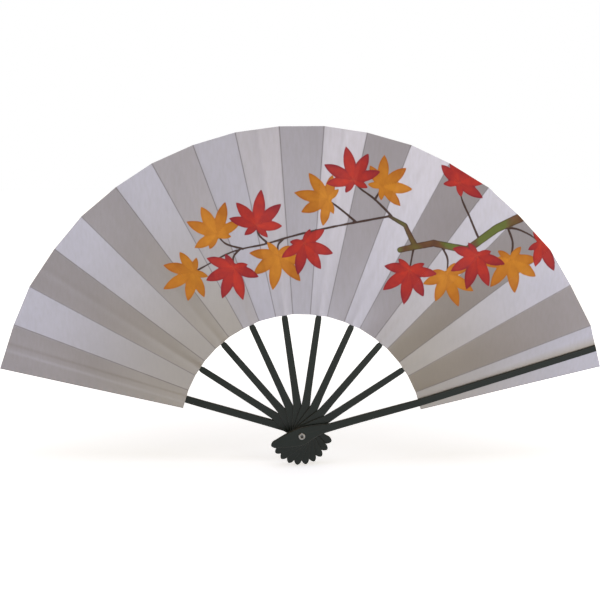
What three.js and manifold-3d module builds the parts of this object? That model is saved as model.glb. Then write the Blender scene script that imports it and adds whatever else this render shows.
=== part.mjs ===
// Folding dance fan, shown open: ten lacquered ribs on one eyelet and a pleated paper leaf.
// Millimetres, +Z up. The origin is the middle of the eyelet, the leaf faces -Y and opens upwards.
import * as THREE from "three";
import { mergeVertices } from "three/addons/utils/BufferGeometryUtils.js";
import Module from "manifold-3d";

const wasm = await Module();
wasm.setup();

// Layout of the open fan
const RIB_COUNT = 10;
const RIB_ANGLE = 16.2; // degrees from one rib to the next
const LEAF_OUTER = 265; // from the eyelet to the leaf's rim
const LEAF_INNER = 105; // from the eyelet to the leaf's lower edge
const PLEAT_TILT = 12; // degrees that a rib's panel leans out of the fan's plane

// Ribs, in depth
const RIB_THICK = 1.2;
const RIB_CLEARANCE = 0.3; // between one rib and the next
const GUARD_THICK = 2.6; // the two outer ribs at the head
const GUARD_LEAF_THICK = 1.8; // and where the leaf is glued on
const GUARD_TIP_THICK = 1.4;
const TONGUE_THICK = 0.3; // the part of an inner rib inside the leaf

// Ribs, in outline
const HEAD_WIDTH = 15.6; // at the eyelet
const TAIL_LENGTH = 27.2; // below the eyelet
const TAIL_WIDTH = 6.8;
const GUARD_TAIL_LENGTH = 27.6;
const GUARD_TAIL_WIDTH = 7.4;
const TAIL_ROUND = 5; // over which a tail narrows to its tip
const TAIL_CURVE = 0.7; // how early it narrows: at 0.5 the end would be half an ellipse
const TAIL_TIP_WIDTH = 0.8;
const HEEL_CURVE = 1.6; // how late the head narrows towards the tail
const SHOULDER = 25.5; // from the eyelet to where the head ends
const SHOULDER_WIDTH = 7.4;
const SHOULDER_CURVE = 1.5; // how late the head narrows towards the shoulder
const SHOULDER_RUN = 14; // over which the head narrows to the neck
const GUARD_FLARE = 15; // on a guard's far side the neck runs in to here before the head widens
const RIB_NECK_WIDTH = 6.3; // where the shoulder ends
const RIB_LEAF_WIDTH = 5.4; // and at the leaf
const GUARD_NECK_WIDTH = 6.8;
const GUARD_LEAF_WIDTH = 6.4;
const TONGUE_WIDTH = 4.4; // where it enters the leaf
const TONGUE_TIP_WIDTH = 3;
const TONGUE_LENGTH = 150; // inside the leaf
const TONGUE_END = 2; // over which its tip narrows to half
const GUARD_TIP_WIDTH = 5.6;
const GUARD_TIP_GAP = 1; // the guard stops this far below the leaf's rim
const GUARD_TIP_ROUND = 3; // over which its end narrows
const GUARD_TIP_SHARE = 0.8; // of its width, at the very end
const GUARD_TIP_CURVE = 0.2; // how late its end narrows
const BACK_GUARD_BEND = 0.8; // sideways, away from the other ribs, between the head and the leaf
const FRONT_GUARD_BEND = 2.1;
const GUARD_BEND_LENGTH = 90; // from the shoulder
const TWIST_START = 62; // each neck turns from flat to the pleat's tilt
const TWIST_LENGTH = 34;
const TAPER_LENGTH = 16; // over which a neck thins
const TAPER_GAP = 1; // between that and the leaf

// Leaf
const RIB_PANEL_THICK = 0.7; // two sheets with a rib's tongue between them
const END_PANEL_THICK = 0.5;
const FREE_PANEL_THICK = 0.25;
const CREASE_INSET = 0.2; // each panel's edge to the fold line
const LEAF_END_MARGIN = 1.4; // the leaf's two ends are cut this much past where a fold would be
const TONGUE_CLEARANCE = 0.1; // over and under the tongue in its pocket
const TONGUE_SIDE_CLEARANCE = 0.3;
const POCKET_OVERRUN = 5; // the pocket's cut past the leaf's lower edge
const GLUE_GAP = 0.15; // guard to end panel

// Eyelet
const EYELET_RADIUS = 1.7;
const EYELET_BORE = 1.1;
const EYELET_CLEARANCE = 0.1; // rib's hole round the eyelet
const FLANGE_RADIUS = 3;
const FLANGE_THICK = 0.8;
const FLANGE_SEAT = 0.2; // flange or washer to the guard's face
const LIP_RADIUS = 2.4;
const LIP_THICK = 0.5;
const WASHER_RADIUS = 3;
const WASHER_THICK = 0.5;
const ROUND_STEPS = 32;

// Balance weights, let into the inner face of each guard
const WEIGHT_START = 33; // from the eyelet
const WEIGHT_LENGTH = 24;
const WEIGHT_WIDTH = 2.6;
const WEIGHT_THICK = 1.3;
const WEIGHT_CLEARANCE = 0.25;

// Values that follow from these
const LEVEL = RIB_THICK + RIB_CLEARANCE; // depth from one rib to the next
const HALF_PANEL = RIB_ANGLE / 4; // half of one panel, two panels to a rib
const TILT = THREE.MathUtils.degToRad(PLEAT_TILT);
const LEAF_MIDDLE = (LEAF_OUTER + LEAF_INNER) / 2;
const HALF_SIN = Math.sin(THREE.MathUtils.degToRad(HALF_PANEL));
const HALF_COS = Math.cos(THREE.MathUtils.degToRad(HALF_PANEL));
// A free panel climbs one level more than a rib's panel falls
const FREE_TILT = Math.atan(Math.tan(TILT) + LEVEL / 2 / LEAF_MIDDLE / HALF_SIN);
const INNER_FACE = RIB_THICK / 2; // guard's inner face from its own level
const GUARD_LEAF_FACE = END_PANEL_THICK / 2 + GLUE_GAP;
const NECK_START = SHOULDER + SHOULDER_RUN;
const NECK_END = LEAF_INNER - TAPER_GAP;
const TAPER_START = NECK_END - TAPER_LENGTH;
const GUARD_TIP = LEAF_OUTER - GUARD_TIP_GAP;

const LACQUER = new THREE.MeshStandardMaterial({ color: 0x282a28, roughness: 0.35, metalness: 0 });
const PAPER = new THREE.MeshStandardMaterial({ color: 0xb4afb6, roughness: 0.45, metalness: 0.35 });
const EYELET_METAL = new THREE.MeshStandardMaterial({ color: 0xc9c7c0, roughness: 0.3, metalness: 1 });
const LEAD = new THREE.MeshStandardMaterial({ color: 0x6d7075, roughness: 0.6, metalness: 1 });

const mix = (a, b, t) => a + (b - a) * Math.min(1, Math.max(0, t));
// A soft step from 0 to 1
const smooth = (share) => {
  const t = Math.min(1, Math.max(0, share));
  return t * t * (3 - 2 * t);
};

// A closed blade along X: one four-cornered section at each station, turned about X by its twist.
function bladeGeometry(stations) {
  const points = [];
  for (const s of stations) {
    const c = Math.cos(s.twist);
    const n = Math.sin(s.twist);
    const corners = [
      [s.left, s.front],
      [-s.right, s.front],
      [-s.right, s.back],
      [s.left, s.back],
    ];
    for (const [y, z] of corners) {
      points.push(s.x, y * c - z * n, y * n + z * c);
    }
  }
  const faces = [0, 2, 1, 0, 3, 2];
  for (let i = 0; i < stations.length - 1; i += 1) {
    for (let j = 0; j < 4; j += 1) {
      const a = i * 4 + j;
      const b = i * 4 + ((j + 1) % 4);
      faces.push(a, b, b + 4, a, b + 4, a + 4);
    }
  }
  const last = (stations.length - 1) * 4;
  faces.push(last, last + 1, last + 2, last, last + 2, last + 3);
  const geometry = new THREE.BufferGeometry();
  geometry.setAttribute("position", new THREE.Float32BufferAttribute(points, 3));
  geometry.setIndex(faces);
  return geometry;
}

// A geometry as a solid, and a solid as a geometry.
function solidOf(geometry) {
  const bare = geometry.clone();
  bare.deleteAttribute("normal");
  bare.deleteAttribute("uv");
  const merged = mergeVertices(bare, 1e-5);
  const mesh = new wasm.Mesh({
    numProp: 3,
    vertProperties: new Float32Array(merged.getAttribute("position").array),
    triVerts: new Uint32Array(merged.index.array),
  });
  return new wasm.Manifold(mesh);
}
function geometryOf(solid) {
  const mesh = solid.getMesh();
  const geometry = new THREE.BufferGeometry();
  geometry.setAttribute("position", new THREE.Float32BufferAttribute(mesh.vertProperties, 3));
  geometry.setIndex(Array.from(mesh.triVerts));
  geometry.computeVertexNormals();
  return geometry;
}
const cut = (geometry, ...tools) => {
  let solid = solidOf(geometry);
  for (const tool of tools) {
    solid = solid.subtract(solidOf(tool));
  }
  return geometryOf(solid);
};

const RIB_FORM = {
  tailLength: TAIL_LENGTH,
  tailWidth: TAIL_WIDTH,
  neckWidth: RIB_NECK_WIDTH,
  leafWidth: RIB_LEAF_WIDTH,
};
const GUARD_FORM = {
  tailLength: GUARD_TAIL_LENGTH,
  tailWidth: GUARD_TAIL_WIDTH,
  neckWidth: GUARD_NECK_WIDTH,
  leafWidth: GUARD_LEAF_WIDTH,
};

// Half the width of a rib's outline at x, from its tail to the end of its neck.
function headHalf(x, form) {
  const tailStart = form.tailLength - TAIL_ROUND;
  if (x <= -tailStart) {
    const t = (-x - tailStart) / TAIL_ROUND;
    return mix(TAIL_TIP_WIDTH, form.tailWidth, Math.max(0, 1 - t * t) ** TAIL_CURVE) / 2;
  }
  if (x <= 0) {
    return mix(HEAD_WIDTH, form.tailWidth, (-x / tailStart) ** HEEL_CURVE) / 2;
  }
  if (x <= SHOULDER) {
    return mix(HEAD_WIDTH, SHOULDER_WIDTH, (x / SHOULDER) ** SHOULDER_CURVE) / 2;
  }
  if (x <= NECK_START) {
    return mix(SHOULDER_WIDTH, form.neckWidth, (x - SHOULDER) / SHOULDER_RUN) / 2;
  }
  return mix(form.neckWidth, form.leafWidth, (x - NECK_START) / (NECK_END - NECK_START)) / 2;
}

const twistAt = (x) => TILT * smooth((x - TWIST_START) / TWIST_LENGTH);

// Places along a rib's head and neck where a section is drawn.
const headStations = (tailLength) => {
  const places = [];
  for (const share of [1, 0.97, 0.87, 0.7, 0.4, 0]) {
    places.push(-tailLength + TAIL_ROUND * (1 - share));
  }
  for (const share of [0.8, 0.6, 0.4, 0.2]) {
    places.push(-share * (tailLength - TAIL_ROUND));
  }
  for (const share of [0, 0.2, 0.4, 0.6, 0.8, 1]) {
    places.push(share * SHOULDER);
  }
  places.push(NECK_START);
  for (let i = 0; i <= 6; i += 1) {
    places.push(TWIST_START + (i / 6) * TWIST_LENGTH);
  }
  return places;
};

function innerRibGeometry() {
  const places = [...headStations(TAIL_LENGTH), TAPER_START, NECK_END].sort((a, b) => a - b);
  const stations = places.map((x) => {
    const thick = mix(RIB_THICK, TONGUE_THICK, (x - TAPER_START) / TAPER_LENGTH);
    const half = x < NECK_END ? headHalf(x, RIB_FORM) : TONGUE_WIDTH / 2;
    return { x, left: half, right: half, front: thick / 2, back: -thick / 2, twist: twistAt(x) };
  });
  const flat = { front: TONGUE_THICK / 2, back: -TONGUE_THICK / 2, twist: TILT };
  const tip = LEAF_INNER + TONGUE_LENGTH;
  stations.push({ x: tip - TONGUE_END, left: TONGUE_TIP_WIDTH / 2, right: TONGUE_TIP_WIDTH / 2, ...flat });
  stations.push({ x: tip, left: TONGUE_TIP_WIDTH / 4, right: TONGUE_TIP_WIDTH / 4, ...flat });
  return cut(bladeGeometry(stations), eyeletHole());
}

// A guard, with its inner face towards the other ribs: side is 1 for the back guard, -1 for the front one.
function guardGeometry(side, bendWidth) {
  const along = [...headStations(GUARD_TAIL_LENGTH), GUARD_FLARE, TAPER_START, NECK_END];
  const places = along.sort((a, b) => a - b);
  places.push(GUARD_TIP - GUARD_TIP_ROUND, GUARD_TIP - GUARD_TIP_ROUND / 3, GUARD_TIP);
  const stations = places.map((x) => {
    const into = (x - TAPER_START) / TAPER_LENGTH;
    const share = (x - LEAF_INNER) / (GUARD_TIP - LEAF_INNER);
    const inner = mix(INNER_FACE, -GUARD_LEAF_FACE, into);
    const leafThick = mix(GUARD_LEAF_THICK, GUARD_TIP_THICK, share);
    const outer = mix(INNER_FACE - GUARD_THICK, -GUARD_LEAF_FACE - leafThick, into);
    let half = headHalf(x, GUARD_FORM);
    if (x > LEAF_INNER) {
      half = mix(GUARD_LEAF_WIDTH, GUARD_TIP_WIDTH, share) / 2;
    }
    half *= mix(GUARD_TIP_SHARE, 1, Math.max(0, (GUARD_TIP - x) / GUARD_TIP_ROUND) ** GUARD_TIP_CURVE);
    const far = Math.min(half, mix(HEAD_WIDTH, GUARD_NECK_WIDTH, x / GUARD_FLARE) / 2);
    const bend = bendWidth * smooth((x - SHOULDER) / GUARD_BEND_LENGTH);
    const away = far + bend;
    const toward = half - bend;
    const sides = side > 0 ? { left: away, right: toward } : { left: toward, right: away };
    const faces = side > 0 ? { front: inner, back: outer } : { front: -outer, back: -inner };
    return { x, ...sides, ...faces, twist: twistAt(x) };
  });
  const pocketDepth = WEIGHT_THICK + WEIGHT_CLEARANCE;
  const pocket = new THREE.BoxGeometry(
    WEIGHT_LENGTH + 2 * WEIGHT_CLEARANCE,
    WEIGHT_WIDTH + 2 * WEIGHT_CLEARANCE,
    2 * pocketDepth,
  );
  pocket.translate(WEIGHT_START + WEIGHT_LENGTH / 2, 0, side * INNER_FACE);
  return cut(bladeGeometry(stations), eyeletHole(), pocket);
}

function eyeletHole() {
  const radius = EYELET_RADIUS + EYELET_CLEARANCE;
  const hole = new THREE.CylinderGeometry(radius, radius, 4 * GUARD_THICK, ROUND_STEPS);
  return hole.rotateX(Math.PI / 2);
}

// A panel of the leaf, flat in its own plane between two folds that meet at the eyelet's axis.
// A panel at the leaf's end has a cut edge on one side: cutSide is 1 for its left and -1 for its right.
function panelGeometry(thick, tilt, cutSide = 0) {
  const slope = HALF_SIN / Math.cos(tilt);
  const length = Math.hypot(HALF_COS, slope);
  const inset = (CREASE_INSET * length) / HALF_COS;
  const corner = (radius, side) => {
    const past = side === cutSide ? LEAF_END_MARGIN : -inset;
    return [radius * HALF_COS, side * (radius * slope + past)];
  };
  const shape = new THREE.Shape();
  shape.moveTo(...corner(LEAF_INNER, -1));
  shape.lineTo(...corner(LEAF_OUTER, -1));
  shape.lineTo(...corner(LEAF_OUTER, 1));
  shape.lineTo(...corner(LEAF_INNER, 1));
  shape.closePath();
  const geometry = new THREE.ExtrudeGeometry(shape, { depth: thick, bevelEnabled: false });
  return geometry.translate(0, 0, -thick / 2);
}

// The pocket between a rib panel's two sheets, open at the leaf's lower edge.
function tonguePocket() {
  const face = TONGUE_THICK / 2 + TONGUE_CLEARANCE;
  const flat = { front: face, back: -face, twist: 0 };
  const end = LEAF_INNER + TONGUE_LENGTH + TONGUE_SIDE_CLEARANCE;
  const wide = TONGUE_WIDTH / 2 + TONGUE_SIDE_CLEARANCE;
  const narrow = TONGUE_TIP_WIDTH / 2 + TONGUE_SIDE_CLEARANCE;
  return bladeGeometry([
    { x: LEAF_INNER - POCKET_OVERRUN, left: wide, right: wide, ...flat },
    { x: end, left: narrow, right: narrow, ...flat },
  ]);
}

// A ring about Z from a closed profile of [radius, height] points.
function ringGeometry(profile) {
  const points = profile.map(([radius, height]) => new THREE.Vector2(radius, height));
  points.push(points[0].clone());
  return new THREE.LatheGeometry(points, ROUND_STEPS).rotateX(Math.PI / 2);
}

const group = new THREE.Group();
// Everything is drawn with the fan's plane as XY and the viewer on +Z, then stood up.
const fan = new THREE.Group();
fan.rotation.x = Math.PI / 2;
group.add(fan);

const levelOf = (k) => (k - (RIB_COUNT - 1) / 2) * LEVEL;
const angleOf = (k) => 90 + ((RIB_COUNT - 1) / 2 - k) * RIB_ANGLE;

// A frame whose X runs outwards at an angle and whose origin is on the eyelet's axis.
function spoke(angle, level) {
  const frame = new THREE.Group();
  frame.rotation.z = THREE.MathUtils.degToRad(angle);
  frame.position.z = level;
  fan.add(frame);
  return frame;
}
function addMesh(parent, name, geometry, material) {
  const mesh = new THREE.Mesh(geometry, material);
  mesh.name = name;
  parent.add(mesh);
  return mesh;
}
const panelName = (n) => `leaf_panel_${String(n).padStart(2, "0")}`;

for (let k = 0; k < RIB_COUNT; k += 1) {
  const frame = spoke(angleOf(k), levelOf(k));
  const end = k === 0 || k === RIB_COUNT - 1;
  const side = k === 0 ? 1 : -1;
  if (end) {
    const guard = k === 0 ? "back_guard" : "front_guard";
    const bend = k === 0 ? BACK_GUARD_BEND : FRONT_GUARD_BEND;
    addMesh(frame, guard, guardGeometry(side, bend), LACQUER);
    const slug = new THREE.BoxGeometry(WEIGHT_LENGTH, WEIGHT_WIDTH, WEIGHT_THICK);
    slug.translate(WEIGHT_START + WEIGHT_LENGTH / 2, 0, side * (INNER_FACE - WEIGHT_THICK / 2));
    addMesh(frame, `${guard}_weight`, slug, LEAD);
  } else {
    addMesh(frame, `rib_${k + 1}`, innerRibGeometry(), LACQUER);
  }
  const sheet = end
    ? panelGeometry(END_PANEL_THICK, TILT, side)
    : cut(panelGeometry(RIB_PANEL_THICK, TILT), tonguePocket());
  const panel = addMesh(frame, panelName(2 * k + 1), sheet, PAPER);
  panel.rotation.x = TILT;
  if (k < RIB_COUNT - 1) {
    const between = spoke(angleOf(k) - RIB_ANGLE / 2, levelOf(k) + LEVEL / 2);
    const free = panelGeometry(FREE_PANEL_THICK, FREE_TILT);
    addMesh(between, panelName(2 * k + 2), free, PAPER).rotation.x = -FREE_TILT;
  }
}

// Eyelet: a flanged tube from the front, its far end rolled out over a washer.
const OUTER_FACE = levelOf(RIB_COUNT - 1) + GUARD_THICK - INNER_FACE;
const FLANGE_BACK = OUTER_FACE + FLANGE_SEAT;
const WASHER_FRONT = -OUTER_FACE - FLANGE_SEAT;
const WASHER_BACK = WASHER_FRONT - WASHER_THICK;
const LIP_FRONT = WASHER_BACK - FLANGE_SEAT;
const eyelet = ringGeometry([
  [EYELET_BORE, LIP_FRONT - LIP_THICK],
  [LIP_RADIUS, LIP_FRONT - LIP_THICK],
  [LIP_RADIUS, LIP_FRONT],
  [EYELET_RADIUS, LIP_FRONT],
  [EYELET_RADIUS, FLANGE_BACK],
  [FLANGE_RADIUS, FLANGE_BACK],
  [FLANGE_RADIUS, FLANGE_BACK + FLANGE_THICK / 2],
  [FLANGE_RADIUS - FLANGE_THICK / 2, FLANGE_BACK + FLANGE_THICK],
  [EYELET_BORE, FLANGE_BACK + FLANGE_THICK],
]);
addMesh(fan, "kaname_eyelet", eyelet, EYELET_METAL);
const washer = ringGeometry([
  [EYELET_RADIUS + EYELET_CLEARANCE, WASHER_BACK],
  [WASHER_RADIUS, WASHER_BACK],
  [WASHER_RADIUS, WASHER_FRONT],
  [EYELET_RADIUS + EYELET_CLEARANCE, WASHER_FRONT],
]);
addMesh(fan, "kaname_washer", washer, EYELET_METAL);

export default group;
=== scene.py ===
"""Folding dance fan, shown open: ten black lacquered ribs on one eyelet, and a pleated leaf of silver paper
painted with maple twigs.

Shapes are drawn in millimetres in the fan's own plane, x to the right, y up and z towards the viewer,
with the origin in the middle of the eyelet. They become metres in the frame when a mesh is made.
"""
import math

import bpy
import numpy as np
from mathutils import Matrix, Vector


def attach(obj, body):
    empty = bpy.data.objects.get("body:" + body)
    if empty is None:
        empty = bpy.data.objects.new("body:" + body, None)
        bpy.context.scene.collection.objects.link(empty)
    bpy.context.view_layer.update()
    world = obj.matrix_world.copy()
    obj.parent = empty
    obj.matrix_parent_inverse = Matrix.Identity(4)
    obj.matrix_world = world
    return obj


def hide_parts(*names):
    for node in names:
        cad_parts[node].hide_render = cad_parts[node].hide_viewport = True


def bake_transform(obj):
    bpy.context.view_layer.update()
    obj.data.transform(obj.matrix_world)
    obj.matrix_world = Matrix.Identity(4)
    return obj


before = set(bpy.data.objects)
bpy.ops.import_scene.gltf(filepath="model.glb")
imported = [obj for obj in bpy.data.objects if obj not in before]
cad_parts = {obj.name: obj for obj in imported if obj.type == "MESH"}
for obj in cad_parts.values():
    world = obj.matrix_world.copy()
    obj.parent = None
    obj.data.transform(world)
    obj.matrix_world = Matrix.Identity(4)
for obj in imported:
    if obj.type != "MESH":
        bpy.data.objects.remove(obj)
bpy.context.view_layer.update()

MM = 0.001

# Layout of the open fan, as in the frame
RIB_COUNT = 10
RIB_ANGLE = 16.2
LEAF_INNER = 105.0
LEAF_OUTER = 265.0
LEAF_END_MARGIN = 1.4
LEVEL = 1.5
TILT = math.radians(12)
# Pleats are pressed flatter at the leaf's lower edge, to these shares of their tilt on the left and right,
# and rise to their full tilt over a length
FLAT_LEFT = 0.3
FLAT_RIGHT = 0.62
FLAT_LENGTH = 95.0
# The first ribs' pleats, at the stiff back guard, lie flatter at the rim too, to these shares of their tilt
END_TILTS = (0.74, 0.9)
HALF_PANEL = math.radians(RIB_ANGLE / 4)
HALF_SIN = math.sin(HALF_PANEL)
HALF_COS = math.cos(HALF_PANEL)
HALF_TAN = math.tan(HALF_PANEL)

# Ribs and guards, as in the frame
RIB_THICK = 1.2
TONGUE_THICK = 0.3
GUARD_THICK = 2.6
GUARD_LEAF_FACE = 0.4
GUARD_LEAF_THICK = 1.8
GUARD_TIP_THICK = 1.4
GUARD_TIP = 264.0
HEAD_WIDTH = 15.6
TAIL_LENGTH = 27.2
TAIL_WIDTH = 6.8
GUARD_TAIL_LENGTH = 27.6
GUARD_TAIL_WIDTH = 7.4
TAIL_ROUND = 5.0
TAIL_CURVE = 0.7
TAIL_TIP_WIDTH = 0.8
HEEL_CURVE = 1.6
SHOULDER = 25.5
SHOULDER_WIDTH = 7.4
SHOULDER_CURVE = 1.5
SHOULDER_RUN = 14.0
NECK_START = SHOULDER + SHOULDER_RUN
NECK_END = 104.0
GUARD_FLARE = 15.0
RIB_NECK_WIDTH = 6.3
RIB_LEAF_WIDTH = 5.4
GUARD_NECK_WIDTH = 6.8
GUARD_LEAF_WIDTH = 6.4
GUARD_TIP_WIDTH = 5.6
BACK_GUARD_BEND = 0.8
FRONT_GUARD_BEND = 2.1
GUARD_BEND_LENGTH = 90.0
TWIST_START = 62.0
TWIST_LENGTH = 34.0
TAPER_LENGTH = 16.0
TAPER_START = NECK_END - TAPER_LENGTH
TONGUE_WIDTH = 4.4
TONGUE_TIP_WIDTH = 3.0
TONGUE_TIP = 255.0
HOLE_RADIUS = 1.8
LACQUER_COVER = 0.05

# Eyelet and washer, as in the frame
EYELET_BORE = 1.1
EYELET_RADIUS = 1.7
FLANGE_RADIUS = 3.0
FLANGE_THICK = 0.8
FLANGE_BACK = 8.95
LIP_RADIUS = 2.4
LIP_THICK = 0.5
LIP_FRONT = -9.65
WASHER_RADIUS = 3.0
WASHER_PLAY = 0.1
WASHER_ROUND = 0.15
WASHER_FRONT = -8.95
WASHER_BACK = -9.45

# Balance weights in the guards, as in the frame
WEIGHT_START = 33.0
WEIGHT_LENGTH = 24.0
WEIGHT_WIDTH = 2.6
WEIGHT_THICK = 1.3
WEIGHT_ROUND = 0.6
# The ends draw in by this share of their rounding, over this many sections
WEIGHT_DRAW = 0.8
WEIGHT_STEPS = 8


def mix(start, end, share):
    """From start to end as share goes from 0 to 1, held at both ends."""
    return start + (end - start) * np.clip(share, 0, 1)


def smooth(share):
    """A soft step: 3 t^2 - 2 t^3, held at both ends."""
    t = np.clip(share, 0, 1)
    return t * t * (3 - 2 * t)


def rib_angle(k):
    """Angle of rib k about the eyelet, in radians from the right, counted from the left guard."""
    return math.radians(90 + ((RIB_COUNT - 1) / 2 - k) * RIB_ANGLE)


def rib_level(k):
    """Depth of rib k towards the viewer."""
    return (k - (RIB_COUNT - 1) / 2) * LEVEL


def pleat_slope(k, radius):
    """Slope of rib k's panel at a distance from the eyelet: less towards the lower edge, where the ribs hold
    it flatter, and there flattest on the left. It is the tilt's tangent times a soft step from one share
    to the other."""
    flat = mix(FLAT_LEFT, FLAT_RIGHT, k / (RIB_COUNT - 1))
    full = END_TILTS[k] if k < len(END_TILTS) else 1.0
    return math.tan(TILT) * mix(min(flat, full), full, smooth((radius - LEAF_INNER) / FLAT_LENGTH))


def on_spoke(points, angle, level):
    """Carries points from a rib's own frame (x outwards, y to its left, z to the viewer) into the fan's
    plane: a turn by the rib's angle, then a move to its level."""
    c, s = math.cos(angle), math.sin(angle)
    x, y, z = np.moveaxis(points, -1, 0)
    return np.stack([c * x - s * y, s * x + c * y, z + level], axis=-1)


def stand_up(points):
    """Fan-plane millimetres (x, y, z) to metres in the frame (x, -z, y)."""
    x, y, z = np.moveaxis(points, -1, 0)
    return np.stack([x, -z, y], axis=-1) * MM


def make_piece(name, points, faces, material, crisp=40):
    """A mesh object from fan-plane points and faces, smooth except where faces meet at more than crisp
    degrees."""
    mesh = bpy.data.meshes.new(name)
    mesh.from_pydata(stand_up(points.reshape(-1, 3)).tolist(), [], faces)
    mesh.polygons.foreach_set("use_smooth", np.ones(len(mesh.polygons), bool))
    mesh.set_sharp_from_angle(angle=math.radians(crisp))
    mesh.materials.append(material)
    mesh.update()
    piece = bpy.data.objects.new(name, mesh)
    bpy.context.scene.collection.objects.link(piece)
    return piece


def keep_numbers(piece, name, values, kind="FLOAT"):
    """Stores one number, or one vector, for each point of a piece, for its material to read."""
    attribute = piece.data.attributes.new(name, kind, "POINT")
    field = "value" if kind == "FLOAT" else "vector"
    attribute.data.foreach_set(field, np.ascontiguousarray(values, np.float32).ravel())


# Materials


def linear(hex_colour):
    """An sRGB hex value as linear red, green, blue and alpha."""
    srgb = np.array([int(hex_colour[i : i + 2], 16) for i in (1, 3, 5)]) / 255
    low = srgb / 12.92
    high = ((srgb + 0.055) / 1.055) ** 2.4
    return (*np.where(srgb <= 0.04045, low, high).tolist(), 1.0)


def add(tree, kind, sockets=None, **settings):
    """Adds one node with its settings. A socket takes a value, or a link where it is given another node's
    output."""
    made = tree.nodes.new(kind)
    for key, value in settings.items():
        setattr(made, key, value)
    for key, value in (sockets or {}).items():
        if isinstance(value, bpy.types.NodeSocket):
            tree.links.new(value, made.inputs[key])
        else:
            made.inputs[key].default_value = value
    return made


def new_material(name):
    """An empty node material, with its shader already joined to the output."""
    material = bpy.data.materials.new(name)
    material.use_nodes = True
    tree = material.node_tree
    tree.nodes.clear()
    shader = add(tree, "ShaderNodeBsdfPrincipled")
    add(tree, "ShaderNodeOutputMaterial", {"Surface": shader.outputs["BSDF"]})
    return material, tree, shader


def black_lacquer():
    """Bamboo under black lacquer, rubbed down by hand: near black with a greenish cast, a soft low gloss,
    faint long fibre lines showing through, and browner where the edges are worn thin."""
    material, tree, shader = new_material("black_lacquered_bamboo")
    place = add(tree, "ShaderNodeAttribute", attribute_name="rib_place")
    edge = add(tree, "ShaderNodeAttribute", attribute_name="rib_edge")
    # Fibres are 0.6 mm apart across the rib and about 25 mm long
    along = add(tree, "ShaderNodeMapping", {"Vector": place.outputs["Vector"], "Scale": (0.04, 1.6, 1.6)})
    fibre = add(tree, "ShaderNodeTexNoise", {"Vector": along.outputs[0], "Scale": 1.0, "Detail": 4.0})
    # Patches of thinner lacquer are about 14 mm across
    patch = add(
        tree, "ShaderNodeTexNoise", {"Vector": place.outputs["Vector"], "Scale": 0.07, "Detail": 2.0}
    )
    streak = add(
        tree,
        "ShaderNodeMapRange",
        {"Value": fibre.outputs["Fac"], "From Min": 0.52, "From Max": 0.75, "To Max": 0.5},
    )
    rubbed = add(
        tree, "ShaderNodeMath", {0: edge.outputs["Fac"], 1: patch.outputs["Fac"]}, operation="MULTIPLY"
    )
    # Full lacquer, and over it the thinner patches, the fibre lines and the worn edges
    colour = linear("#0A1614")
    for share, tint in (
        (patch.outputs["Fac"], "#14221D"),
        (streak.outputs[0], "#2E2C27"),
        (rubbed.outputs[0], "#3A352D"),
    ):
        sockets = {0: share, 6: colour, 7: linear(tint)}
        colour = add(tree, "ShaderNodeMix", sockets, data_type="RGBA").outputs[2]
    gloss = add(
        tree, "ShaderNodeMapRange", {"Value": fibre.outputs["Fac"], "To Min": 0.3, "To Max": 0.46}
    )
    relief = add(
        tree, "ShaderNodeBump", {"Height": fibre.outputs["Fac"], "Strength": 0.12, "Distance": 0.0002}
    )
    tree.links.new(colour, shader.inputs["Base Color"])
    tree.links.new(gloss.outputs[0], shader.inputs["Roughness"])
    tree.links.new(relief.outputs[0], shader.inputs["Normal"])
    shader.inputs["IOR"].default_value = 1.5
    shader.inputs["Specular IOR Level"].default_value = 0.34
    return material


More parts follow.
